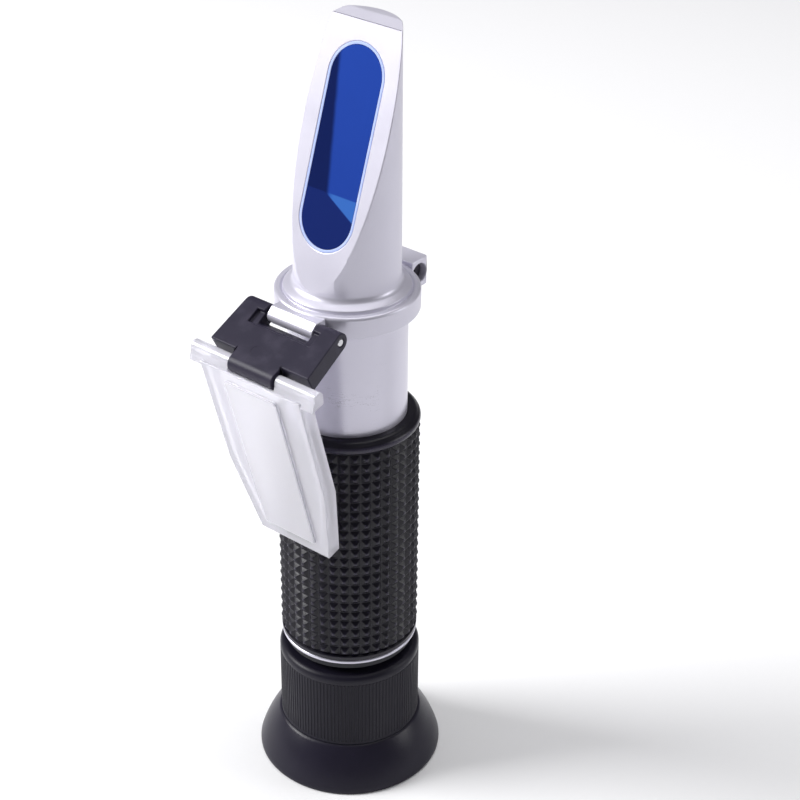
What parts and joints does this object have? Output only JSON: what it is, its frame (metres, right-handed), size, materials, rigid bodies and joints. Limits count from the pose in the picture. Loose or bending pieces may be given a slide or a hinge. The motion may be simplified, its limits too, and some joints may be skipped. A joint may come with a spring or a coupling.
{
  "type": "handheld refractometer",
  "caption": "Slim handheld refractometer: slanted blue prism under a clear flip-up daylight plate, rubber-gripped tube and a flared rubber eyecup that turns to focus.",
  "frame": {"origin": "centre of the eyecup's rim, on the plane that the tool stands on", "axes": "+Z along the tube towards the prism, -Y the side of the slanted prism face and of the hinge, +X along the hinge pins"},
  "size_m": [0.04, 0.0485, 0.167],
  "materials": {
    "satin_aluminium": "fine satin, blasted and clear anodised",
    "tube_aluminium": "satin, turned",
    "black_anodised": "dull black anodised",
    "prism_glass": "polished blue optical glass",
    "lens_glass": "polished and coated",
    "clear_plate": "moulded clear plastic with a frosted face",
    "seal_resin": "clear sealing resin, bevelled",
    "hinge_plastic": "black moulded, fine spark texture",
    "pin_steel": "ground",
    "screw_steel": "blackened, slotted head",
    "bimetal": "rolled strip",
    "grip_rubber": "moulded with rows of small square pyramids",
    "cup_rubber": "matt, finely ribbed sleeve",
    "o_ring_rubber": "smooth, greased"
  },
  "bodies": {
    "body": {"prism_head": "satin_aluminium", "measuring_prism": "prism_glass", "prism_seal": "seal_resin", "upper_hinge_pin": "pin_steel", "main_tube": "tube_aluminium", "grip_sleeve": "grip_rubber", "trim_ring": "tube_aluminium", "stop_ring": "black_anodised", "light_baffle": "black_anodised", "reticle_holder": "black_anodised", "reticle_glass": "lens_glass", "reticle_retaining_ring": "black_anodised", "guide_pin": "pin_steel", "carrier_spring": "pin_steel"},
    "link": {"hinge_link": "hinge_plastic", "lower_hinge_pin": "pin_steel"},
    "plate": {"daylight_plate": "clear_plate"},
    "calibration_screw": {"calibration_screw": "screw_steel"},
    "lens_carrier": {"lens_carrier": "black_anodised", "bimetal_strip": "bimetal", "bimetal_screws": "pin_steel", "objective_cell": "black_anodised", "objective_lens": "lens_glass", "objective_retaining_ring": "black_anodised"},
    "lens_cell": {"lens_cell": "black_anodised", "eye_lens": "lens_glass", "lens_spacer": "black_anodised", "field_lens": "lens_glass", "lens_retaining_ring": "black_anodised"},
    "eyecup": {"eyecup": "cup_rubber", "focus_barrel": "black_anodised", "focus_o_ring": "o_ring_rubber", "cell_retaining_ring": "black_anodised"}
  },
  "joints": [
    {"name": "link_hinge", "type": "hinge", "parent": "body", "child": "link", "pos_m": [0, -0.0155, 0.1119], "axis": [1, 0, 0], "range_deg": [-136, 0]},
    {"name": "plate_hinge", "type": "hinge", "parent": "link", "child": "plate", "pos_m": [0, -0.02642, 0.10624], "axis": [1, 0, 0], "range_deg": [-78.1, 0]},
    {"name": "focus_slide", "type": "slide", "parent": "body", "child": "lens_cell", "axis": [0, 0, 1], "range_m": [-0.001, 0.001]},
    {"name": "focus_turn", "type": "hinge", "parent": "lens_cell", "child": "eyecup", "pos_m": [0, 0, 0.02], "axis": [0, 0, 1], "range_deg": [-180, 180]},
    {"name": "calibration_screw_turn", "type": "hinge", "parent": "body", "child": "calibration_screw", "pos_m": [0, 0.0159, 0.1121], "axis": [1, 0, 0], "range_deg": [-360, 360]},
    {"name": "calibration_shift", "type": "slide", "parent": "body", "child": "lens_carrier", "axis": [0, 1, 0], "range_m": [-0.000085, 0.000085]}
  ],
  "couplings": [
    {"joint": "focus_turn", "follows": "focus_slide", "rad_per_m": 3141},
    {"joint": "calibration_screw_turn", "follows": "calibration_shift", "rad_per_m": 73500}
  ]
}
